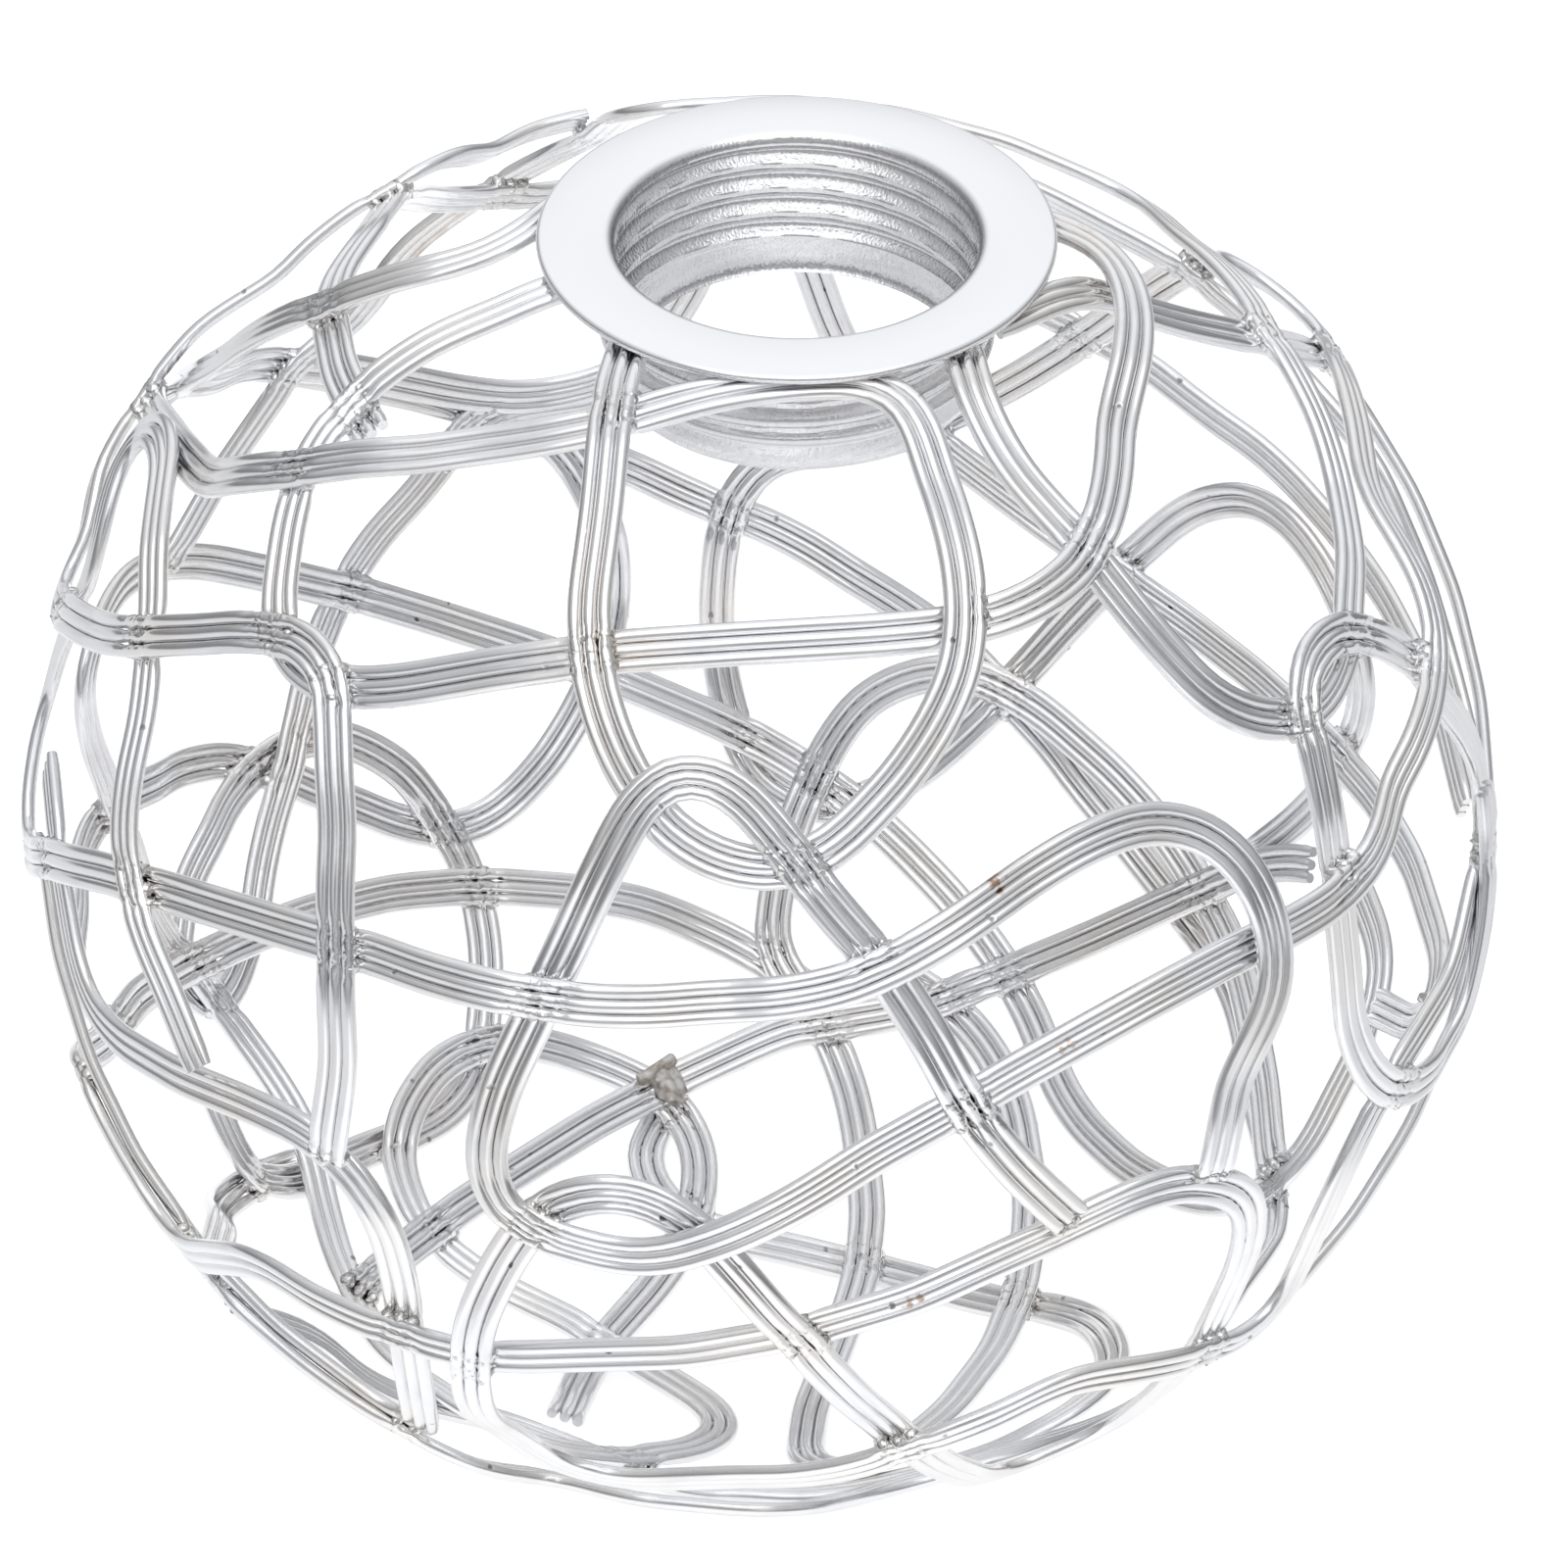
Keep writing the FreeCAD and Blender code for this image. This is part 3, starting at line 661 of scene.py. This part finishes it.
# Floor: a wide sheet of white paper under the globe; it stays white to the eye, greys to the left and
# right in what the metal mirrors, and takes the globe's own soft shadow
bpy.ops.object.select_all(action="DESELECT")
bpy.ops.mesh.primitive_plane_add(size=6.0, location=(0.0, 0.0, box_at_load[0][2] - 0.0002))
floor = bpy.context.object
floor.name = "floor"
bpy.ops.object.transform_apply(location=True)
paper = bpy.data.materials.new("paper")
paper.use_nodes = True
nodes = paper.node_tree.nodes
links = paper.node_tree.links
shader = nodes["Principled BSDF"]
shader.inputs["Roughness"].default_value = 0.9
shader.inputs["Specular IOR Level"].default_value = 0.1
shader.inputs["Emission Color"].default_value = (1.0, 1.0, 1.0, 1.0)
coords = nodes.new("ShaderNodeTexCoord")
fibre = nodes.new("ShaderNodeTexNoise")
fibre.inputs["Scale"].default_value = 40.0
links.new(coords.outputs["Object"], fibre.inputs["Vector"])
tint = nodes.new("ShaderNodeMix")
tint.data_type = "RGBA"
tint.inputs["A"].default_value = (0.88, 0.88, 0.88, 1.0)
tint.inputs["B"].default_value = (0.92, 0.92, 0.92, 1.0)
links.new(fibre.outputs["Fac"], tint.inputs["Factor"])
links.new(tint.outputs["Result"], shader.inputs["Base Color"])
seen = nodes.new("ShaderNodeLightPath")
mirrored = nodes.new("ShaderNodeMath")
mirrored.operation = "MULTIPLY"
links.new(seen.outputs["Is Glossy Ray"], mirrored.inputs[0])
from_middle = nodes.new("ShaderNodeSeparateXYZ")
links.new(coords.outputs["Object"], from_middle.inputs["Vector"])
left_or_right = nodes.new("ShaderNodeMath")
left_or_right.operation = "ABSOLUTE"
links.new(from_middle.outputs["X"], left_or_right.inputs[0])
shaded_sides = nodes.new("ShaderNodeMapRange")
shaded_sides.inputs["From Min"].default_value = 0.05
shaded_sides.inputs["From Max"].default_value = 0.13
shaded_sides.inputs["To Min"].default_value = 0.80
shaded_sides.inputs["To Max"].default_value = 0.12
links.new(left_or_right.outputs["Value"], shaded_sides.inputs["Value"])
links.new(shaded_sides.outputs["Result"], mirrored.inputs[1])
either = nodes.new("ShaderNodeMath")
either.operation = "MAXIMUM"
links.new(seen.outputs["Is Camera Ray"], either.inputs[0])
links.new(mirrored.outputs["Value"], either.inputs[1])
glow = nodes.new("ShaderNodeMath")
glow.operation = "MULTIPLY"
glow.inputs[1].default_value = 0.56
links.new(either.outputs["Value"], glow.inputs[0])
links.new(glow.outputs["Value"], shader.inputs["Emission Strength"])
floor.data.materials.append(paper)


# Light: a white studio tent, bright overhead, greyer round the sides and dim towards the viewer, so
# that each wire carries pale edges and darker lines; one soft lamp above gives the highlights
tent = bpy.data.worlds.new("studio")
bpy.context.scene.world = tent
tent.use_nodes = True
nodes = tent.node_tree.nodes
links = tent.node_tree.links
backdrop = nodes["Background"]
backdrop.inputs["Color"].default_value = (0.965, 0.98, 1.0, 1.0)
coords = nodes.new("ShaderNodeTexCoord")
towards = nodes.new("ShaderNodeVectorMath")
towards.operation = "DOT_PRODUCT"
towards.inputs[1].default_value = (0.0, -0.8, 0.6)
links.new(coords.outputs["Generated"], towards.inputs[0])
spread = nodes.new("ShaderNodeSeparateXYZ")
links.new(coords.outputs["Generated"], spread.inputs["Vector"])
sideways = nodes.new("ShaderNodeMath")
sideways.operation = "ABSOLUTE"
links.new(spread.outputs["X"], sideways.inputs[0])


def tent_range(value, low, high, least, most):
    soft = nodes.new("ShaderNodeMapRange")
    soft.interpolation_type = "SMOOTHSTEP"
    soft.inputs["From Min"].default_value = low
    soft.inputs["From Max"].default_value = high
    soft.inputs["To Min"].default_value = least
    soft.inputs["To Max"].default_value = most
    links.new(value, soft.inputs["Value"])
    return soft.outputs["Result"]


def tent_product(first, second):
    times = nodes.new("ShaderNodeMath")
    times.operation = "MULTIPLY"
    links.new(first, times.inputs[0])
    links.new(second, times.inputs[1])
    return times.outputs["Value"]


front_side = tent_range(towards.outputs["Value"], 0.15, 0.90, 1.0, 0.95)
overhead = tent_range(spread.outputs["Z"], 0.1, 0.52, 0.46, 1.0)
viewer = tent_range(towards.outputs["Value"], 0.90, 0.99, 1.0, 0.3)
flanks = tent_range(sideways.outputs["Value"], 0.1, 0.9, 1.0, 0.5)
strength = tent_product(tent_product(tent_product(front_side, overhead), viewer), flanks)
links.new(strength, backdrop.inputs["Strength"])
bpy.ops.object.select_all(action="DESELECT")
bpy.ops.object.light_add(type="AREA", location=(0.0, -0.35, 0.75), rotation=(math.radians(25), 0.0, 0.0))
lamp = bpy.context.object
lamp.name = "top_lamp"
lamp.data.size = 0.9
lamp.data.energy = 1.8


# Camera: 600 mm from the globe's middle and 37.2 degrees above it, as the object was photographed
CAMERA_AWAY = 0.6
PICTURE = 1600
FOCAL = 7554
CENTRE_X = 781.0
CENTRE_Y = 818.9
tilt = math.radians(37.2)
bpy.ops.object.select_all(action="DESELECT")
bpy.ops.object.camera_add(location=middle + CAMERA_AWAY * Vector((0.0, -math.cos(tilt), math.sin(tilt))))
camera = bpy.context.object
camera.rotation_euler = (math.pi / 2 - tilt, 0.0, 0.0)
camera.data.sensor_width = 36.0
camera.data.lens = camera.data.sensor_width * FOCAL / PICTURE
camera.data.shift_x = (PICTURE / 2 - CENTRE_X) / PICTURE
camera.data.shift_y = (CENTRE_Y - PICTURE / 2) / PICTURE
camera.data.clip_start = 0.01
bpy.context.scene.camera = camera
bpy.context.scene.view_settings.view_transform = "Standard"
